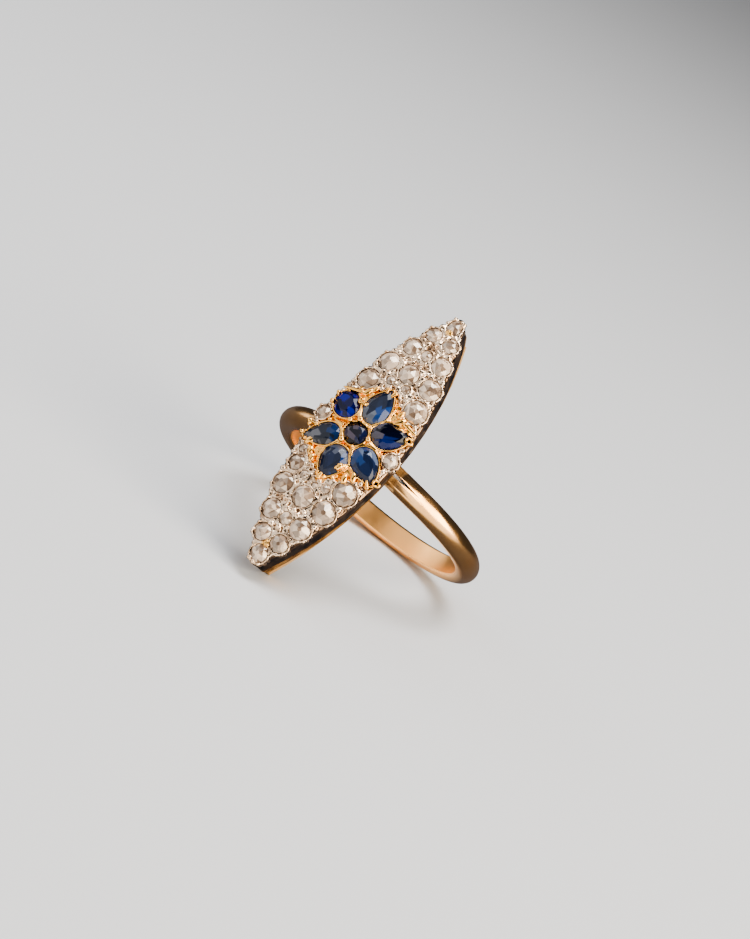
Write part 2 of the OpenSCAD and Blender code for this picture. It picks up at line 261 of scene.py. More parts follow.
def mix_colour(tree, share, a, b):
    # The Mix node keeps its two colours in inputs 6 and 7, and the result in output 2
    node = tree.nodes.new("ShaderNodeMix")
    node.data_type = "RGBA"
    for socket, value in zip((node.inputs[0], node.inputs[6], node.inputs[7]), (share, a, b)):
        if isinstance(value, (int, float, tuple)):
            socket.default_value = value
        else:
            tree.links.new(value, socket)
    return node.outputs[2]


def smooth_step(tree, value, zero_at, one_at):
    node = tree.nodes.new("ShaderNodeMapRange")
    node.interpolation_type = "SMOOTHSTEP"
    node.inputs["From Min"].default_value = zero_at
    node.inputs["From Max"].default_value = one_at
    tree.links.new(value, node.inputs["Value"])
    return node.outputs["Result"]


def ring_coordinates(tree):
    # The ring's own upright frame, in millimetres, from Object coordinates
    place = tree.nodes.new("ShaderNodeTexCoord")
    turn = tree.nodes.new("ShaderNodeMapping")
    turn.inputs["Rotation"].default_value = (-REST_TILT, 0, 0)
    turn.inputs["Scale"].default_value = (1 / MM, 1 / MM, 1 / MM)
    tree.links.new(place.outputs["Object"], turn.inputs["Vector"])
    return turn.outputs["Vector"]


def ring_axes(tree):
    # A place across the head, along it and up, in millimetres
    split = tree.nodes.new("ShaderNodeSeparateXYZ")
    tree.links.new(ring_coordinates(tree), split.inputs[0])
    return split.outputs[0], split.outputs[1], split.outputs[2]


def head_depth_group():
    # How far a point lies below the head's curve and from its middle line, in millimetres
    group, _, out = new_group(
        "head_depth", [], [("Depth", "NodeSocketFloat"), ("Across", "NodeSocketFloat")]
    )
    x, y, z = ring_axes(group)
    fall = total(
        group,
        math_node(group, "DIVIDE", square(group, x), 2 * ACROSS_RADIUS),
        math_node(group, "DIVIDE", square(group, y), 2 * ALONG_RADIUS),
    )
    below = difference(group, HEAD_HEIGHT, z)
    group.links.new(difference(group, below, fall), out.inputs["Depth"])
    group.links.new(size_of(group, x), out.inputs["Across"])
    return group


# How high a metal's fine grain stands, in millimetres
GRAIN_HEIGHT = 0.03


def patina_group():
    # Cloudy patches and a fine grain in the surface, on scales given in patches per millimetre
    group, given, out = new_group(
        "patina",
        [
            ("Cloud Scale", "NodeSocketFloat", 0.6),
            ("Grain Scale", "NodeSocketFloat", 12.0),
            ("Bump", "NodeSocketFloat", 0.2),
        ],
        [("Clouds", "NodeSocketFloat"), ("Normal", "NodeSocketVector")],
    )
    place = ring_coordinates(group)
    clouds = group.nodes.new("ShaderNodeTexNoise")
    clouds.inputs["Detail"].default_value = 4
    clouds.inputs["Roughness"].default_value = 0.6
    grain = group.nodes.new("ShaderNodeTexNoise")
    grain.inputs["Detail"].default_value = 3
    for texture, scale in ((clouds, "Cloud Scale"), (grain, "Grain Scale")):
        group.links.new(place, texture.inputs["Vector"])
        group.links.new(given.outputs[scale], texture.inputs["Scale"])
    bump = group.nodes.new("ShaderNodeBump")
    bump.inputs["Distance"].default_value = GRAIN_HEIGHT * MM
    group.links.new(given.outputs["Bump"], bump.inputs["Strength"])
    group.links.new(grain.outputs["Fac"], bump.inputs["Height"])
    group.links.new(smooth_step(group, clouds.outputs["Fac"], 0.35, 0.68), out.inputs["Clouds"])
    group.links.new(bump.outputs["Normal"], out.inputs["Normal"])
    return group


# Facets whose normals differ by more than this have shades of their own
FACET_STEP = 0.05


def facet_group():
    # A shade for each facet of a stone, and patches like the light that plays inside it
    group, given, out = new_group(
        "facet_light",
        [("Place", "NodeSocketVector", (0, 0, 0)), ("Patch Scale", "NodeSocketFloat", 1.6)],
        [("Facet", "NodeSocketFloat"), ("Patch", "NodeSocketFloat")],
    )
    geometry = group.nodes.new("ShaderNodeNewGeometry")
    coarse = group.nodes.new("ShaderNodeVectorMath")
    coarse.operation = "SNAP"
    coarse.inputs[1].default_value = (FACET_STEP, FACET_STEP, FACET_STEP)
    group.links.new(geometry.outputs["True Normal"], coarse.inputs[0])
    facet = group.nodes.new("ShaderNodeTexWhiteNoise")
    group.links.new(coarse.outputs[0], facet.inputs["Vector"])
    patches = group.nodes.new("ShaderNodeTexVoronoi")
    group.links.new(given.outputs["Place"], patches.inputs["Vector"])
    group.links.new(given.outputs["Patch Scale"], patches.inputs["Scale"])
    shade = group.nodes.new("ShaderNodeSeparateColor")
    group.links.new(patches.outputs["Color"], shade.inputs[0])
    group.links.new(facet.outputs["Value"], out.inputs["Facet"])
    group.links.new(shade.outputs[0], out.inputs["Patch"])
    return group


# How far patches push the edge of a stone's lit side to and fro, and how soft that edge
# is, in millimetres
PATCH_SHIFT = 1.3
LIT_EDGE = 0.06


def lit_side_group():
    # One where a stone's patches lie on the given side of its middle, and zero elsewhere
    group, given, out = new_group(
        "lit_side",
        [
            ("Middle", "NodeSocketVector", (0, 0, 0)),
            ("Side", "NodeSocketVector", (1, 0, 0)),
            ("Reach", "NodeSocketFloat", 0.3),
            ("Patch", "NodeSocketFloat", 0.5),
        ],
        [("Share", "NodeSocketFloat")],
    )
    offset = group.nodes.new("ShaderNodeVectorMath")
    offset.operation = "SUBTRACT"
    group.links.new(ring_coordinates(group), offset.inputs[0])
    group.links.new(given.outputs["Middle"], offset.inputs[1])
    along = group.nodes.new("ShaderNodeVectorMath")
    along.operation = "DOT_PRODUCT"
    group.links.new(offset.outputs[0], along.inputs[0])
    group.links.new(given.outputs["Side"], along.inputs[1])
    uneven = product(group, difference(group, given.outputs["Patch"], 0.5), PATCH_SHIFT)
    past = difference(group, total(group, along.outputs["Value"], uneven), given.outputs["Reach"])
    group.links.new(smooth_step(group, past, -LIT_EDGE, LIT_EDGE), out.inputs["Share"])
    return group


HEAD_DEPTH = head_depth_group()
PATINA = patina_group()
FACET_LIGHT = facet_group()
LIT_SIDE = lit_side_group()


def new_material(name):
    material = bpy.data.materials.new(name)
    material.use_nodes = True
    return material, material.node_tree, material.node_tree.nodes["Principled BSDF"]


def use_group(tree, group, **values):
    # Places a group; a value may be a number or another node's socket
    node = tree.nodes.new("ShaderNodeGroup")
    node.node_tree = group
    for label, value in values.items():
        socket = node.inputs[label.replace("_", " ")]
        if isinstance(value, bpy.types.NodeSocket):
            tree.links.new(value, socket)
        else:
            socket.default_value = value
    return node


# Metals
def gold_finish(name, bright, deep, roughness, clouded, cloud_scale, bump):
    # Polished gold under a thin brown film in patches, which are rougher by clouded
    material, tree, shader = new_material(name)
    shader.inputs["Metallic"].default_value = 1
    patina = use_group(tree, PATINA, Cloud_Scale=cloud_scale, Grain_Scale=9.0, Bump=bump)
    clouds = patina.outputs["Clouds"]
    film = mix_colour(tree, product(tree, clouds, 0.5), bright, deep)
    rough = total(tree, product(tree, clouds, clouded), roughness)
    tree.links.new(rough, shader.inputs["Roughness"])
    tree.links.new(patina.outputs["Normal"], shader.inputs["Normal"])
    return material, tree, shader, film, rough


def slit_share(tree):
    # One inside the slits of the shoulders
    x, y, z = ring_axes(tree)
    inward = difference(tree, SLIT_POINT[0], size_of(tree, x))
    upward = difference(tree, z, SLIT_POINT[1])
    run = total(
        tree,
        product(tree, inward, math.cos(SHOULDER_ANGLE)),
        product(tree, upward, math.sin(SHOULDER_ANGLE)),
    )
    half_width = product(tree, run, SLIT_HALF_WIDTH / SLIT_RUN)
    inside = difference(tree, half_width, size_of(tree, y))
    return smooth_step(tree, inside, -0.03, -0.005)


def inside_share(tree):
    # One on the inside of the hoop, which wear has left satin
    x, _, z = ring_axes(tree)
    from_axis = math_node(tree, "SQRT", total(tree, square(tree, x), square(tree, z)))
    return smooth_step(tree, from_axis, FINGER_RADIUS + 0.15, FINGER_RADIUS + 0.05)


def shank_finish():
    # Gold that is satin inside the hoop, with painted shade in patchy dark brown down the gallery under
    # the head and near-black in the slits, and a painted highlight on the rim's edge
    material, tree, shader, film, rough = gold_finish(
        "shank_gold", bright=(1.0, 0.60, 0.27, 1), deep=(0.72, 0.36, 0.13, 1),
        roughness=0.165, clouded=0.10, cloud_scale=0.33, bump=0.1,
    )
    head = use_group(tree, HEAD_DEPTH)
    depth = head.outputs["Depth"]
    beside_head = smooth_step(tree, head.outputs["Across"], WALL_HALF_WIDTH + 0.25, WALL_HALF_WIDTH)
    above_rim = smooth_step(tree, depth, RIM_TOP + 0.04, RIM_TOP - 0.04)
    gallery = product(tree, above_rim, beside_head)
    spots = use_group(tree, PATINA, Cloud_Scale=0.8).outputs["Clouds"]
    # Painted shade: the gallery under the head is painted a patchy dark brown
    gallery_shade = mix_colour(tree, spots, (0.22, 0.105, 0.035, 1), (0.80, 0.43, 0.15, 1))
    inner = inside_share(tree)
    rubbed = mix_colour(tree, inner, film, (0.90, 0.50, 0.19, 1))
    tinted = mix_colour(tree, gallery, rubbed, gallery_shade)
    # Painted shade: the inside of the slits is painted near-black
    slit = product(tree, slit_share(tree), rest_of(tree, gallery))
    dark = mix_colour(tree, slit, tinted, (0.02, 0.009, 0.004, 1))
    # The rim's edge carries a painted highlight: a pale gold band with less metal in it, so it shows
    # pale from every side
    below_top = product(tree, beside_head, smooth_step(tree, depth, RIM_TOP - 0.08, RIM_TOP))
    rim = product(tree, below_top, smooth_step(tree, depth, RIM_FOOT + 0.04, RIM_FOOT - 0.04))
    rim_highlight = mix_colour(tree, rim, dark, (0.92, 0.58, 0.29, 1))
    tree.links.new(rim_highlight, shader.inputs["Base Color"])
    satin = product(tree, inner, 0.12)
    tree.links.new(total(tree, rough, satin), shader.inputs["Roughness"])
    dull = math_node(tree, "MAXIMUM", product(tree, gallery, 0.3), product(tree, rim, 0.45))
    tree.links.new(rest_of(tree, dull), shader.inputs["Metallic"])
    return material


# Where small gold beads lie on the silver near each tip
TIP_GOLD = [(0.0, 11.0), (0.0, -10.6)]
# Claws of the flower that have a small hole, how far these stand up, and the form of their
# ring across, along and up
RING_CLAWS = [(3.38, 2.02), (3.56, -2.03)]
RING_RISE = 0.4
RING_FORM = (1.35, 1.0, 1)


def near_places(tree, places, rise, outer, inner):
    # One near two places of the head, and zero further away than the outer radius
    shares = []
    for x, y in places:
        middle = tree.nodes.new("ShaderNodeVectorMath")
        middle.operation = "DISTANCE"
        tree.links.new(ring_coordinates(tree), middle.inputs[0])
        middle.inputs[1].default_value = on_head(x, y, rise).translation
        shares.append(smooth_step(tree, middle.outputs["Value"], outer, inner))
    return math_node(tree, "MAXIMUM", *shares)


def flower_finish():
    # Rich gold, with painted shade near-black in the holes of two claws
    material, tree, shader, film, _ = gold_finish(
        "flower_gold", bright=(1.0, 0.57, 0.168, 1), deep=(0.62, 0.28, 0.07, 1),
        roughness=0.13, clouded=0.12, cloud_scale=1.6, bump=0.2,
    )
    # Painted shade: the holes in two claws are painted near-black
    hole_shade = near_places(tree, RING_CLAWS, RING_RISE - 0.06, outer=0.16, inner=0.11)
    tree.links.new(mix_colour(tree, hole_shade, film, (0.012, 0.006, 0.004, 1)), shader.inputs["Base Color"])
    return material


def cup_side_share(tree):
    # One on the sides of the cups that hang over the wall
    x, y, _ = ring_axes(tree)
    radius = arc_radius(WALL_HALF_LENGTH, WALL_HALF_WIDTH)
    arc = math_node(tree, "SQRT", difference(tree, radius ** 2, square(tree, y)))
    wall = difference(tree, arc, radius - WALL_HALF_WIDTH)
    proud = difference(tree, size_of(tree, x), wall)
    return smooth_step(tree, proud, 0.04, 0.1)


def silver_finish():
    # Warm on rims and beads, with painted shade in brown where the metal lies below the head's curve,
    # and black oxide with painted shade down the wall
    material, tree, shader = new_material("old_silver")
    shader.inputs["Metallic"].default_value = 1
    patina = use_group(tree, PATINA, Cloud_Scale=1.3, Grain_Scale=14.0, Bump=0.2)
    clouds = patina.outputs["Clouds"]
    spots = use_group(tree, PATINA, Cloud_Scale=1.1).outputs["Clouds"]
    # Depth below the head's curve, uneven so that no colour ends on a straight line
    depth = total(tree, use_group(tree, HEAD_DEPTH).outputs["Depth"], product(tree, clouds, 0.3))
    warm = mix_colour(tree, clouds, (0.85, 0.66, 0.485, 1), (0.63, 0.44, 0.29, 1))
    near_gold = near_places(tree, TIP_GOLD, 0, outer=0.45, inner=0.3)
    gilt = mix_colour(tree, near_gold, warm, (0.95, 0.55, 0.18, 1))
    hanging = product(tree, cup_side_share(tree), smooth_step(tree, depth, 1.25, 0.95))
    elsewhere = rest_of(tree, hanging)
    # Painted shade: brown between the beads, where the metal lies below the head's curve
    sunk = product(tree, smooth_step(tree, depth, 0.03, 0.32), elsewhere)
    hollow_shade = mix_colour(tree, sunk, gilt, (0.29, 0.185, 0.115, 1))
    # Black oxide and painted shade down the wall, under the head's curve
    oxide_and_shade = mix_colour(tree, spots, (0.012, 0.010, 0.012, 1), (0.075, 0.050, 0.036, 1))
    low = product(tree, smooth_step(tree, depth, 0.5, 0.8), elsewhere)
    tree.links.new(mix_colour(tree, low, hollow_shade, oxide_and_shade), shader.inputs["Base Color"])
    tree.links.new(rest_of(tree, product(tree, low, 0.4)), shader.inputs["Metallic"])
    dull = product(tree, smooth_step(tree, depth, 0.1, 1.0), 0.25)
    tree.links.new(total(tree, dull, 0.16), shader.inputs["Roughness"])
    tree.links.new(patina.outputs["Normal"], shader.inputs["Normal"])
    return material


# Stones
def ramp_colour(tree, value, *stops):
    # A colour between stops: each is a place from nought to one and a colour
    node = tree.nodes.new("ShaderNodeValToRGB")
    ramp = node.color_ramp
    ramp.elements[0].position, ramp.elements[0].color = stops[0]
    ramp.elements[1].position, ramp.elements[1].color = stops[-1]
    for place, colour in stops[1:-1]:
        ramp.elements.new(place).color = colour
    tree.links.new(value, node.inputs[0])
    return node.outputs[0]


def flat_facets(tree, shader):
    # Each facet reflects as a plane of its own
    geometry = tree.nodes.new("ShaderNodeNewGeometry")
    tree.links.new(geometry.outputs["True Normal"], shader.inputs["Normal"])


def diamond_finish():
    # Old rose cuts: white, beige and brown facets side by side, painted reflections and light from
    # inside the stone
    material, tree, shader = new_material("rose_cut_diamond")
    light = use_group(tree, FACET_LIGHT, Place=ring_coordinates(tree), Patch_Scale=1.6)
    shade = smooth_step(tree, average(tree, light.outputs["Facet"], light.outputs["Patch"]), 0.12, 0.82)
    colour = ramp_colour(
        tree, shade,
        (0.0, (0.16, 0.108, 0.076, 1)),
        (0.3, (0.22, 0.148, 0.10, 1)),
        (0.62, (0.37, 0.262, 0.183, 1)),
        (0.88, (0.72, 0.565, 0.44, 1)),
    )
    tree.links.new(colour, shader.inputs["Base Color"])
    shader.inputs["Transmission Weight"].default_value = 0.12
    shader.inputs["Specular Tint"].default_value = (1, 0.92, 0.82, 1)
    shader.inputs["IOR"].default_value = 2.2
    shader.inputs["Roughness"].default_value = 0.04
    flat_facets(tree, shader)
    return material


# How far a sapphire's streaks are drawn out along it, across it and in depth
STREAK = (1.5, 0.6, 1.0)


def sapphire_finish(name, angle, middle, dark, body, pale, pale_side, bright, bright_side):
    # A dark stone with a painted pale reflection on one side and painted bright light on another,
    # broken up in streaks along the stone
    material, tree, shader = new_material(name)
    turned = tree.nodes.new("ShaderNodeMapping")
    turned.vector_type = "TEXTURE"
    turned.inputs["Rotation"].default_value = (0, 0, math.radians(angle))
    turned.inputs["Scale"].default_value = STREAK
    tree.links.new(ring_coordinates(tree), turned.inputs["Vector"])
    light = use_group(tree, FACET_LIGHT, Place=turned.outputs["Vector"], Patch_Scale=1.5)
    patch = light.outputs["Patch"]
    colour = mix_colour(tree, average(tree, light.outputs["Facet"], patch), dark, body)
    for tint, (x, y, reach) in ((bright, bright_side), (pale, pale_side)):
        side = use_group(tree, LIT_SIDE, Middle=middle, Side=(x, y, 0), Reach=reach, Patch=patch)
        colour = mix_colour(tree, side.outputs["Share"], colour, tint)
    tree.links.new(colour, shader.inputs["Base Color"])
    shader.inputs["Transmission Weight"].default_value = 0.08
    shader.inputs["IOR"].default_value = 1.77
    shader.inputs["Specular IOR Level"].default_value = 0.16
    shader.inputs["Roughness"].default_value = 0.05
    flat_facets(tree, shader)
    return material


# Columns: dark, body, pale and its side, bright and its side; a side is a direction
# across and along the head and how far from the stone's middle it begins. The pale side is a painted
# reflection and the bright side painted light
SAPPHIRE_LIGHT = {
    "sapphire_middle": (
        (0.001, 0.001, 0.004, 1), (0.004, 0.0035, 0.012, 1),
        (0.060, 0.048, 0.068, 1), (-0.9, -0.3, 0.35), (0.008, 0.012, 0.045, 1), (0.7, 0.6, 0.45),
    ),
    "sapphire_petal_top": (
        (0.005, 0.008, 0.019, 1), (0.014, 0.022, 0.052, 1),
        (0.10, 0.115, 0.15, 1), (-0.5, -0.86, 0.85), (0.014, 0.042, 0.15, 1), (0.76, -0.4, 0.4),
    ),
    "sapphire_petal_top_right": (
        (0.0008, 0.0012, 0.004, 1), (0.002, 0.003, 0.014, 1),
        (0.070, 0.065, 0.085, 1), (-0.9, -0.3, 0.85), (0.003, 0.012, 0.09, 1), (0.5, -0.85, 0.4),
    ),
    "sapphire_petal_low_right": (
        (0.005, 0.009, 0.025, 1), (0.014, 0.024, 0.065, 1),
        (0.09, 0.12, 0.20, 1), (0.3, 0.9, 0.65), (0.018, 0.04, 0.12, 1), (-0.76, 0.2, 0.35),
    ),
    "sapphire_petal_low": (
        (0.003, 0.006, 0.018, 1), (0.009, 0.017, 0.055, 1),
        (0.065, 0.075, 0.11, 1), (-0.3, 0.95, 0.95), (0.010, 0.030, 0.12, 1), (0.8, 0.3, 0.45),
    ),
    "sapphire_petal_low_left": (
        (0.008, 0.010, 0.017, 1), (0.018, 0.023, 0.038, 1),
        (0.105, 0.108, 0.125, 1), (-0.4, -0.9, 0.3), (0.010, 0.026, 0.085, 1), (0.8, 0.55, 0.75),
    ),
    "sapphire_petal_top_left": (
        (0.0004, 0.0006, 0.012, 1), (0.0008, 0.0015, 0.08, 1),
        (0.003, 0.010, 0.24, 1), (0.2, -0.95, 0.7), (0.001, 0.004, 0.16, 1), (-0.8, 0.2, 0.4),
    ),
}


def put_on(node, material):
    mesh = frame["nodes"][node].data
    mesh.materials.clear()
    mesh.materials.append(material)


def finish_sapphire(node, angle, reach):
    # A sapphire whose middle lies at an angle in degrees and a distance from the head's middle
    x, y = beside(0, 0, reach, math.radians(angle))
    middle = (x, y, HEAD_HEIGHT - drop(x, y))
    put_on(node, sapphire_finish(node, angle, middle, *SAPPHIRE_LIGHT[node]))


def finish_stones():
    diamond = diamond_finish()
    for node in frame["nodes"]:
        if node.startswith("diamond"):
            put_on(node, diamond)
    finish_sapphire("sapphire_middle", 0, 0)
    for node, angle, reach, _, _, _ in PETALS:
        finish_sapphire(node, angle, reach)


# Shapes and pieces
def make_piece(name, shape, material, replaced, smooth_angle=60):
    # Turns a shape in millimetres into a piece in the room that rides on the ring
    bmesh.ops.transform(shape, matrix=TO_ROOM, verts=shape.verts)
    mesh = bpy.data.meshes.new(name)
    shape.to_mesh(mesh)
    shape.free()
    mesh.materials.append(material)
    piece = bpy.data.objects.new(name, mesh)
    bpy.context.scene.collection.objects.link(piece)
    mesh.shade_smooth()
    mesh.set_sharp_from_angle(angle=math.radians(smooth_angle))
    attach(piece, "root")
    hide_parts(*replaced)


def applied(mesh, *modifiers):
    # A mesh after some modifiers: each is a kind and its settings
    carrier = bpy.data.objects.new("carrier", mesh)
    bpy.context.scene.collection.objects.link(carrier)
    for kind, settings in modifiers:
        modifier = carrier.modifiers.new(kind, kind)
        for setting, value in settings.items():
            setattr(modifier, setting, value)
    bpy.context.view_layer.update()
    evaluated = carrier.evaluated_get(bpy.context.evaluated_depsgraph_get())
    result = bpy.data.meshes.new_from_object(evaluated)
    bpy.data.objects.remove(carrier)
    return result


# Points of a CAD node nearer than this are one point, in millimetres
MERGE_DISTANCE = 0.0005


def cad_copy(node):
    # A CAD node's shape in the ring's own frame, its loose triangles merged
    shape = bmesh.new()
    shape.from_mesh(frame["nodes"][node].data)
    bmesh.ops.transform(shape, matrix=TO_ROOM.inverted(), verts=shape.verts)
    bmesh.ops.remove_doubles(shape, verts=shape.verts, dist=MERGE_DISTANCE)
    return shape


def template(build):
    # A small shape kept as a mesh, to be stamped many times
    shape = bmesh.new()
    build(shape)
    bmesh.ops.recalc_face_normals(shape, faces=shape.faces)
    mesh = bpy.data.meshes.new("template")
    shape.to_mesh(mesh)
    shape.free()
    return mesh


def stamp(shape, pattern, place):
    # Adds a copy of a template to a shape, set in a place
    copy = pattern.copy()
    copy.transform(place)
    shape.from_mesh(copy)
    bpy.data.meshes.remove(copy)


def ball_shape(shape):
    bmesh.ops.create_uvsphere(shape, u_segments=10, v_segments=7, radius=1)


def grain_template(post_depth):
    # A ball on a post, which ties it to the metal below; the post's length is in the ball's radii
    def build(shape):
        ball_shape(shape)
        bmesh.ops.create_cone(
            shape, cap_ends=True, segments=8, radius1=1.1, radius2=0.8, depth=post_depth,
            matrix=Matrix.Translation((0, 0, -post_depth / 2)),
        )
    return template(build)


# A claw's radius at its root and at its point, in shares of its width
PRONG_ROOT = 0.3
PRONG_POINT = 0.14


def prong_shape(shape):
    # A tapered claw one unit long that lies along X, with round ends
    bmesh.ops.create_cone(
        shape, cap_ends=True, segments=8, radius1=PRONG_ROOT, radius2=PRONG_POINT, depth=1,
        matrix=Matrix.Translation((0.5, 0, 0)) @ Matrix.Rotation(math.pi / 2, 4, "Y"),
    )
    for place, radius in ((0, PRONG_ROOT), (1, PRONG_POINT)):
        bmesh.ops.create_uvsphere(
            shape, u_segments=8, v_segments=6, radius=radius, matrix=Matrix.Translation((place, 0, 0)),
        )


BALL = template(ball_shape)
LONG_GRAIN = grain_template(6.0)
SHORT_GRAIN = grain_template(4.0)
PRONG = template(prong_shape)


def sized(*sizes):
    return Matrix.Diagonal((*sizes, 1))


def bead(shape, place, radius, pattern=BALL):
    # A ball, or a grain on its post, of a radius
    stamp(shape, pattern, place @ sized(radius, radius, radius))


def prong(shape, x, y, angle, length, width, rise, lean=0.0):
    # A claw that starts at a place on the head, points at an angle and leans up or down
    place = on_head(x, y, rise, math.radians(angle)) @ Matrix.Rotation(math.radians(-lean), 4, "Y")
    stamp(shape, PRONG, place @ sized(length, width, width))


def wire_ring_template(thickness):
    # A round wire bent into a ring of radius one, its thickness a share of that
    def build(shape):
        made = bmesh.ops.create_circle(
            shape, segments=6, radius=thickness,
            matrix=Matrix.Translation((1, 0, 0)) @ Matrix.Rotation(math.pi / 2, 4, "X"),
        )
        edges = list({e for v in made["verts"] for e in v.link_edges})
        bmesh.ops.spin(
            shape, geom=made["verts"] + edges, cent=(0, 0, 0), axis=(0, 0, 1), angle=math.tau,
            steps=32, use_merge=True,
        )
    return template(build)


def wire_ring(shape, place, radius, thickness):
    pattern = wire_ring_template(thickness / radius)
    stamp(shape, pattern, place @ sized(radius, radius, radius))
    bpy.data.meshes.remove(pattern)


def drop_crumbs(shape, fewest_faces=50):
    # Removes the loose crumbs that thinning a skin can leave
    seen = set()
    crumbs = []
    for face in shape.faces:
        if face in seen:
            continue
        seen.add(face)
        island = [face]
        for member in island:
            for edge in member.edges:
                fresh = [other for other in edge.link_faces if other not in seen]
                seen.update(fresh)
                island.extend(fresh)
        if len(island) < fewest_faces:
            crumbs.extend(island)
    bmesh.ops.delete(shape, geom=crumbs, context="FACES")


# Size of the skins' voxels in millimetres, and the share of their faces that is kept
SILVER_VOXEL, SILVER_KEEP, FLOWER_VOXEL, FLOWER_KEEP = 0.055, 0.46, 0.036, 0.5


def fused(shape, voxel, keep):
    # Joined shapes fused into one skin, like cast and soldered metal
    mesh = bpy.data.meshes.new("fused")
    bmesh.ops.recalc_face_normals(shape, faces=shape.faces)
    shape.to_mesh(mesh)
    shape.free()
    skin = applied(
        mesh,
        ("REMESH", {"mode": "VOXEL", "voxel_size": voxel}),
        ("SMOOTH", {"factor": 0.5, "iterations": 2}),
        ("DECIMATE", {"ratio": keep}),
    )
    result = bmesh.new()
    result.from_mesh(skin)
    drop_crumbs(result)
    return result


# Where metal lies between the stones
def lens_half_width(y, half_length, half_width):
    r = arc_radius(half_length, half_width)
    return math.sqrt(max(r * r - y * y, 0)) - r + half_width


def wall_half_width(y):
    return lens_half_width(y, WALL_HALF_LENGTH, WALL_HALF_WIDTH)


def petal_offset(petal, x, y):
    # A place as seen from a petal's middle: along it and across it
    _, angle, reach, _, _, _ = petal
    a = math.radians(angle)
    dx = x - reach * math.cos(a)
    dy = y - reach * math.sin(a)
    return dx * math.cos(a) + dy * math.sin(a), -dx * math.sin(a) + dy * math.cos(a)


# Outline of a pointed petal: how far it swells, and how fast it narrows to its point
PETAL_SWELL = 1.22
PETAL_TAPER = 0.7


def petal_side(width, pointed, t):
    # How far a petal's edge lies from its long axis, at a turn round it
    if not pointed:
        return width * math.sin(t)
    return PETAL_SWELL * width * math.sin(t) * abs(math.sin(t / 2)) ** PETAL_TAPER


def petal_half_width(petal, u):
    # Half the width of a petal at a distance along it from its middle
    _, _, _, length, width, pointed = petal
    if abs(u) >= length:
        return 0.0
    return petal_side(width, pointed, math.acos(u / length))


def clear_of_stones(x, y, room):
    for sx, sy, radius in DIAMONDS:
        if math.hypot(x - sx, y - sy) < radius + room:
            return False
    for petal in PETALS:
        u, v = petal_offset(petal, x, y)
        length = petal[3]
        shrunk = u * length / (length + room)
        if abs(u) < length + room and abs(v) < petal_half_width(petal, shrunk) + room:
            return False
    return math.hypot(x, y) > MIDDLE_RADIUS + room


# How far the flower reaches, half its width, and how much a step along the head counts
FLOWER_REACH = 3.5
FLOWER_HALF_WIDTH = 3.3
FLOWER_STEP = 0.86
# How far from the flower's middle its corners start
CORNER_START = 2.2
# Half the length and width of the silver that grains lie on
SILVER_HALF_LENGTH = 11.9
SILVER_HALF_WIDTH = 3.55


def in_flower(x, y):
    return math.hypot(x, y * FLOWER_STEP) < FLOWER_REACH and abs(x) < FLOWER_HALF_WIDTH


def in_corners(x, y):
    # The four corners between the flower's end petals and their neighbours
    return in_flower(x, y) and math.hypot(x, y) > CORNER_START


def in_silver(x, y):
    return not in_flower(x, y) and abs(x) < lens_half_width(y, SILVER_HALF_LENGTH, SILVER_HALF_WIDTH)


# Grains and posts: how much deeper one may be sunk than the next, how near to a stone one
# may lie in shares of its radius, and how far a post may stray sideways
GRAIN_SINK = 0.06
GRAIN_ROOM = 0.85
POST_SINK = 0.05
POST_ROOM = 0.8
POST_STRAY = 0.04


def fill_grains(shape, inside, box, count, sizes, spacing, level, seed):
    # Grains strewn over the metal between the stones; spacing is how close two may come, as a
    # share of both radii together
    draw = random.Random(seed)
    placed = []
    for _ in range(count):
        x = draw.uniform(-box[0], box[0])
        y = draw.uniform(-box[1], box[1])
        radius = draw.uniform(*sizes)
        sunk = draw.uniform(0, GRAIN_SINK)
        if not inside(x, y):
            continue
        if any(math.hypot(x - px, y - py) < (radius + pr) * spacing for px, py, pr in placed):
            continue
        if not clear_of_stones(x, y, radius * GRAIN_ROOM):
            continue
        placed.append((x, y, radius))
        bead(shape, on_head(x, y, level - sunk), radius, SHORT_GRAIN)


def lay_bed(shape, pattern, inside, box, step, radius, level, seed):
    # Close-set posts that close the deep pockets between the stones
    draw = random.Random(seed)
    across, along = (round(2 * size / step) for size in box)
    for i in range(across + 1):
        for j in range(along + 1):
            x = -box[0] + i * step + draw.uniform(-POST_STRAY, POST_STRAY)
            y = -box[1] + j * step + draw.uniform(-POST_STRAY, POST_STRAY)
            if inside(x, y) and clear_of_stones(x, y, radius * POST_ROOM):
                bead(shape, on_head(x, y, level - draw.uniform(0, POST_SINK)), radius, pattern)


# Silver

# A diamond smaller than this has smaller beads and no lobes
SMALL_RADIUS = 0.5
# Rim of a diamond: how far its wire lies past the stone's edge, and its thickness
RIM_REACH = 0.075
RIM_THICKNESS = 0.065
# How many beads hold a diamond for each millimetre of its radius, and the fewest
BEADS_PER_MM = 4.4
FEWEST_BEADS = 3
# How far past the stone's edge these beads lie and above the head's curve, and how many
# degrees they stray from even steps
BEAD_REACH = 0.08
BEAD_RISE = 0.03
BEAD_STRAY = 14
# Smallest and largest beads of a large diamond, the beads of a small one, and a bead's
# form outwards, sideways and up
BEAD_SIZES = (0.11, 0.15)
SMALL_BEAD = 0.1
BEAD_FORM = (1.25, 1, 0.85)
BEAD_SEED = 7
# Half sizes of the lobes on the wall: outwards, along it and down, and their angles
LOBE_SIZE = (0.15, 0.16, 0.42)
LOBE_TURNS = (-54, -27, 0, 27, 54)
# How far past the stone's edge and below the head's curve the lobes start
LOBE_REACH = 0.1
LOBE_DROP = 0.02
# A stone that lies further than this inside the wall has no lobes
LOBE_MARGIN = 0.45
# Step along the wall over which its direction is measured
SLOPE_STEP = 0.1
# Half sizes of the areas that posts and grains are laid in
SILVER_BED = (3.6, 11.7)
SILVER_GRAINS = (3.7, 11.8)
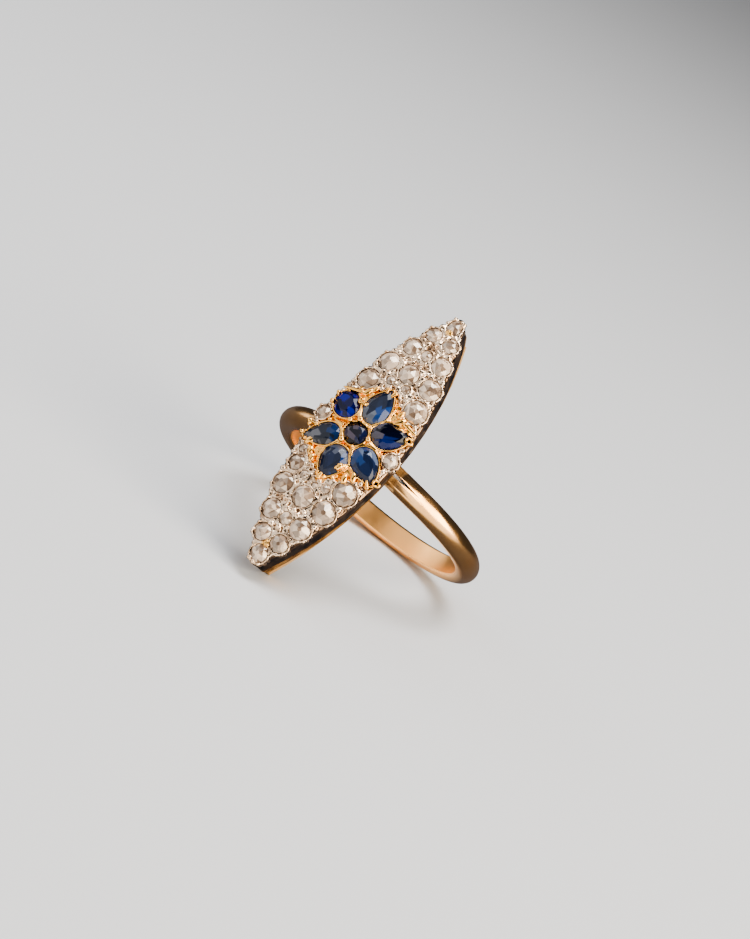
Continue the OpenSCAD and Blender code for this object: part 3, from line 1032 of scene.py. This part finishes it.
# Silver beads that close each tip: place and radius
TIP_BEADS = [(0.16, 12.2, 0.15), (0.42, 12.0, 0.14), (0.0, -12.2, 0.15), (-0.35, -12.05, 0.14)]
# Gold beads at each tip: how many, how far from the middle of their group, radius
TIP_GOLD_BEADS = 4
TIP_GOLD_REACH = 0.13
TIP_GOLD_RADIUS = 0.11


def hold_diamond(shape, draw, x, y, radius):
    # A smooth rim round a diamond, and a few round beads pushed over its edge
    wire_ring(shape, on_head(x, y), radius + RIM_REACH, RIM_THICKNESS)
    count = max(FEWEST_BEADS, round(radius * BEADS_PER_MM))
    start = draw.uniform(0, 360)
    for i in range(count):
        angle = math.radians(start + 360 * i / count + draw.uniform(-BEAD_STRAY, BEAD_STRAY))
        place = on_head(*beside(x, y, radius + BEAD_REACH, angle), BEAD_RISE, angle)
        size = draw.uniform(*BEAD_SIZES) if radius > SMALL_RADIUS else SMALL_BEAD
        stamp(shape, BALL, place @ sized(*(size * share for share in BEAD_FORM)))


def hang_lobes(shape, x, y, radius):
    # Smooth lobes on the outer side of an edge diamond's cup, which lie on the wall
    if radius < SMALL_RADIUS or radius + abs(x) < wall_half_width(y) - LOBE_MARGIN:
        return
    slope = (wall_half_width(y + SLOPE_STEP) - wall_half_width(y - SLOPE_STEP)) / (2 * SLOPE_STEP)
    outward = math.degrees(math.atan2(-slope, 1 if x > 0 else -1))
    sides = [outward]
    if x == 0:
        sides.append(180 - outward)
    for middle in sides:
        for turn in LOBE_TURNS:
            angle = math.radians(middle + turn)
            spot = beside(x, y, radius + LOBE_REACH, angle)
            stamp(shape, BALL, on_head(*spot, -LOBE_SIZE[2] - LOBE_DROP, angle) @ sized(*LOBE_SIZE))


def silver_setting():
    shape = cad_copy("silver_setting")
    draw = random.Random(BEAD_SEED)
    for x, y, radius in DIAMONDS:
        hold_diamond(shape, draw, x, y, radius)
        hang_lobes(shape, x, y, radius)
    lay_bed(
        shape, LONG_GRAIN, in_silver, SILVER_BED, step=0.2, radius=0.15, level=-0.22, seed=3,
    )
    fill_grains(
        shape, in_silver, SILVER_GRAINS,
        count=20000, sizes=(0.17, 0.26), spacing=0.92, level=-0.05, seed=12,
    )
    fill_grains(
        shape, in_silver, SILVER_GRAINS,
        count=12000, sizes=(0.11, 0.15), spacing=0.95, level=-0.04, seed=11,
    )
    for x, y, radius in TIP_BEADS:
        bead(shape, on_head(x, y, rise=0.08), radius)
    for x, y in TIP_GOLD:
        for i in range(TIP_GOLD_BEADS):
            spot = beside(x, y, TIP_GOLD_REACH, math.tau * i / TIP_GOLD_BEADS)
            bead(shape, on_head(*spot, rise=0.1), TIP_GOLD_RADIUS)
    skin = fused(shape, SILVER_VOXEL, SILVER_KEEP)
    make_piece("silver_setting_chased", skin, silver_finish(), ["silver_setting"])


# Gold flower

# How far the gold between the flower's stones is sunk, how thick a skin of it moves, and
# how far from the stones that starts
WEB_DEPTH = 0.17
WEB_SKIN = 0.12
WEB_ROOM = 0.17
# How much coarser than the flower's last skin the first one is, in which the webs are sunk
FIRST_SKIN = 1.5
# Claws of the flower: place, angle they point at, length, width and lean
FLOWER_CLAWS = [
    (-1.95, 2.87, -163, 1.3, 0.62, 4),
    (2.45, 2.85, -6, 1.0, 0.85, -3),
    (3.25, -2.7, 130, 0.65, 0.7, -6),
    (-1.42, 2.3, -15, 0.65, 0.62, 10),
    (-0.75, 2.3, 200, 0.5, 0.55, 10),
    (0.72, -2.95, 60, 0.65, 0.85, -6),
    (0.35, 4.3, -110, 0.6, 0.62, -8),
    (-0.35, 4.25, -70, 0.55, 0.55, -8),
    (0.0, -4.35, 90, 0.65, 0.68, -8),
    (-2.95, -1.15, 180, 0.7, 0.7, -4),
]
# Claws with round heads: place and radius
BALL_CLAWS = [
    (0.78, -2.72, 0.3), (0.55, -2.98, 0.2), (-3.62, -2.18, 0.19), (-3.68, -1.12, 0.24),
    (-3.5, -1.4, 0.17), (-1.36, 2.2, 0.23), (-3.33, 1.1, 0.2), (-3.42, 1.95, 0.17),
]
# Beads round the middle sapphire: angle and radius
MIDDLE_BEADS = [(110, 0.27), (149, 0.23), (-116, 0.28), (9, 0.25), (62, 0.16), (-62, 0.16)]
# How far past the middle sapphire's edge these beads lie, and its rim
MIDDLE_BEAD_REACH = 0.2
MIDDLE_RIM_REACH = 0.09
# Ridges between the petals: angle, start, length, width
RIDGES = [
    (62, 1.35, 0.95, 0.62), (118, 1.3, 1.0, 0.7), (180, 1.35, 0.75, 0.5),
    (242, 1.3, 1.0, 0.62), (298, 1.35, 0.95, 0.6), (0, 1.3, 0.7, 0.5),
]
# Smooth lumps and leaves of gold in the corners: place, angle, length and width
CORNER_BLOBS = [
    (2.0, 2.8, 55, 0.6, 0.28), (2.45, 2.3, 20, 0.42, 0.26), (1.7, 3.3, 75, 0.42, 0.24),
    (2.85, 1.75, -40, 0.45, 0.24), (-2.05, 2.95, 120, 0.44, 0.25), (-1.5, 3.2, 70, 0.5, 0.26),
    (-1.15, 3.75, 80, 0.36, 0.2), (-2.6, -2.4, -120, 0.52, 0.28), (-2.0, -3.0, -60, 0.46, 0.27),
    (-2.8, -1.85, -150, 0.42, 0.26), (-1.5, -3.45, -75, 0.4, 0.24), (2.05, -2.75, -60, 0.5, 0.27),
    (1.6, -3.25, -70, 0.48, 0.28), (2.6, -2.2, -30, 0.36, 0.22),
]
# Height of such a lump, as a share of its width
BLOB_HEIGHT = 0.9
# Half sizes of the area that the flower's posts and grains are laid in
FLOWER_BED = (3.4, 4.2)


def blob(shape, x, y, angle, length, width):
    # A smooth oval lump of gold, drawn out along an angle
    place = on_head(x, y, rise=0.02, turn=math.radians(angle))
    stamp(shape, BALL, place @ sized(length, width, width * BLOB_HEIGHT))


def petal_rim(shape, petal, room, radius, rise, spacing):
    # Fine beads so close together that they fuse into a smooth rim round a petal
    _, angle, reach, length, width, pointed = petal
    a = math.radians(angle)
    perimeter = math.pi * (length + width)
    count = round(perimeter / spacing)
    for i in range(count):
        t = math.tau * i / count
        u = (length + room) * math.cos(t)
        v = petal_side(width + room, pointed, t)
        x = (reach + u) * math.cos(a) - v * math.sin(a)
        y = (reach + u) * math.sin(a) + v * math.cos(a)
        bead(shape, on_head(x, y, rise), radius)


def sink_webs(shape):
    # Lowers the gold between the stones, so that their rims stand up
    upright = Vector((0, 0, 1))
    for vertex in shape.verts:
        x, y, z = vertex.co
        above = z - HEAD_HEIGHT + drop(x, y)
        if above > -WEB_SKIN and clear_of_stones(x, y, WEB_ROOM):
            vertex.co -= upright * WEB_DEPTH


def gold_flower():
    shape = fused(cad_copy("gold_flower"), FLOWER_VOXEL * FIRST_SKIN, keep=1.0)
    sink_webs(shape)
    for petal in PETALS:
        petal_rim(shape, petal, room=0.08, radius=0.07, rise=0.03, spacing=0.055)
    wire_ring(shape, on_head(0, 0, rise=0.04), MIDDLE_RADIUS + MIDDLE_RIM_REACH, thickness=0.07)
    for angle, radius in MIDDLE_BEADS:
        spot = beside(0, 0, MIDDLE_RADIUS + MIDDLE_BEAD_REACH, math.radians(angle))
        bead(shape, on_head(*spot, rise=0.28), radius)
    for angle, start, length, width in RIDGES:
        spot = beside(0, 0, start, math.radians(angle))
        prong(shape, *spot, angle, length, width, rise=0.02)
    for x, y, angle, length, width, lean in FLOWER_CLAWS:
        prong(shape, x, y, angle, length, width, rise=0.18, lean=lean)
    for x, y, radius in BALL_CLAWS:
        bead(shape, on_head(x, y, rise=0.16), radius)
    for x, y in RING_CLAWS:
        bead(shape, on_head(x, y, rise=0.02), radius=0.34)
        oval = on_head(x, y, RING_RISE) @ sized(*RING_FORM)
        wire_ring(shape, oval, radius=0.2, thickness=0.085)
    lay_bed(
        shape, SHORT_GRAIN, in_flower, FLOWER_BED, step=0.18, radius=0.13, level=-0.34, seed=4,
    )
    for x, y, angle, length, width in CORNER_BLOBS:
        blob(shape, x, y, angle, length, width)
    fill_grains(
        shape, in_corners, FLOWER_BED,
        count=4000, sizes=(0.17, 0.24), spacing=0.9, level=-0.2, seed=21,
    )
    skin = fused(shape, FLOWER_VOXEL, FLOWER_KEEP)
    make_piece("gold_flower_chased", skin, flower_finish(), ["gold_flower"])


def gold_shank():
    # The hoop and gallery as they are, with their shading smoothed along the gallery
    shape = cad_copy("gold_shank")
    gold = shank_finish()
    make_piece("gold_shank_polished", shape, gold, ["gold_shank"], smooth_angle=25)


# Floor, lights and backdrop

# Painted reflections of white cards on the floor, which show only in the metal's reflections:
# where each edge starts and ends to fade in, in millimetres towards the camera or to its right
FRONT_CARD_EDGE = (11, 15)
LOW_CARD_BACK = (-15, -12)
LOW_CARD_FRONT = (0, -3)
LOW_CARD_LEFT = (-7, -4)
LOW_CARD_RIGHT = (6, 3)


def room_axis(tree, direction):
    # How far a place on the floor lies along a direction of the ring's own frame, in millimetres
    place = tree.nodes.new("ShaderNodeTexCoord")
    along = tree.nodes.new("ShaderNodeVectorMath")
    along.operation = "DOT_PRODUCT"
    tree.links.new(place.outputs["Object"], along.inputs[0])
    along.inputs[1].default_value = (Matrix.Rotation(REST_TILT, 3, "X") @ direction) / MM
    return along.outputs["Value"]


def card_reflection_share(tree):
    # One where the painted reflections of white cards lie on the floor before and under the ring
    near = room_axis(tree, -CAMERA_FORWARD)
    right = room_axis(tree, CAMERA_RIGHT)
    before = smooth_step(tree, near, *FRONT_CARD_EDGE)
    under = product(
        tree, smooth_step(tree, near, *LOW_CARD_BACK), smooth_step(tree, near, *LOW_CARD_FRONT)
    )
    sideways = product(
        tree, smooth_step(tree, right, *LOW_CARD_LEFT), smooth_step(tree, right, *LOW_CARD_RIGHT)
    )
    return math_node(tree, "MAXIMUM", before, product(tree, under, sideways))


# Half the floor's width, in metres
FLOOR_REACH = 4


def add_floor():
    shape = bmesh.new()
    bmesh.ops.create_grid(shape, x_segments=1, y_segments=1, size=FLOOR_REACH)
    bmesh.ops.translate(shape, verts=shape.verts, vec=(0, 0, cad_box[0][2]))
    mesh = bpy.data.meshes.new("floor")
    shape.to_mesh(mesh)
    shape.free()
    material, tree, shader = new_material("floor_paper")
    # Painted reflection: the paper shows darker in the metal's reflections than to the camera, except
    # where the painted white cards lie
    seen = tree.nodes.new("ShaderNodeLightPath")
    mirrored = mix_colour(tree, card_reflection_share(tree), (0.07, 0.07, 0.08, 1), (0.85, 0.84, 0.82, 1))
    paper = mix_colour(tree, seen.outputs["Is Glossy Ray"], (0.55, 0.56, 0.58, 1), mirrored)
    tree.links.new(paper, shader.inputs["Base Color"])
    shader.inputs["Roughness"].default_value = 0.9
    shader.inputs["Specular IOR Level"].default_value = 0.2
    mesh.materials.append(material)
    floor = bpy.data.objects.new("floor", mesh)
    bpy.context.scene.collection.objects.link(floor)


# How far the lights stand from the ring, in metres
LIGHT_DISTANCE = 0.4


def add_light(name, direction, size, power, colour=(1, 1, 1)):
    # A soft panel of light at a direction given as the camera sees it: right, up, near
    data = bpy.data.lights.new(name, "AREA")
    data.shape = "RECTANGLE"
    data.size, data.size_y = size
    data.energy = power
    data.color = colour
    light = bpy.data.objects.new(name, data)
    bpy.context.scene.collection.objects.link(light)
    aim = (camera.matrix_world.to_3x3() @ Vector(direction)).normalized()
    light.location = aim * LIGHT_DISTANCE
    light.rotation_euler = aim.to_track_quat("Z", "Y").to_euler()


def add_world():
    # A pale room, painted darker where the metal reflects it
    world = bpy.data.worlds.new("studio")
    world.use_nodes = True
    tree = world.node_tree
    background = tree.nodes["Background"]
    seen = tree.nodes.new("ShaderNodeLightPath")
    mirrored = seen.outputs["Is Glossy Ray"]
    room = mix_colour(tree, mirrored, (0.21, 0.21, 0.212, 1), (0.05, 0.052, 0.06, 1))
    tree.links.new(room, background.inputs["Color"])
    background.inputs["Strength"].default_value = 1
    bpy.context.scene.world = world


finish_stones()
gold_shank()
silver_setting()
gold_flower()

add_floor()
add_world()
add_light("panel", (-0.40, 0.78, 0.45), (0.6, 0.5), 1.0)
add_light("behind", (-0.62, 0.75, -0.2), (0.26, 0.26), 0.35)
add_light("overhead", (0.55, 0.75, 0.35), (0.24, 0.24), 1.9)
add_light("shoulder", (0.783, -0.21, 0.586), (0.34, 0.31), 3.0, (1, 0.88, 0.71))

bpy.context.scene.view_settings.look = "AgX - Medium High Contrast"
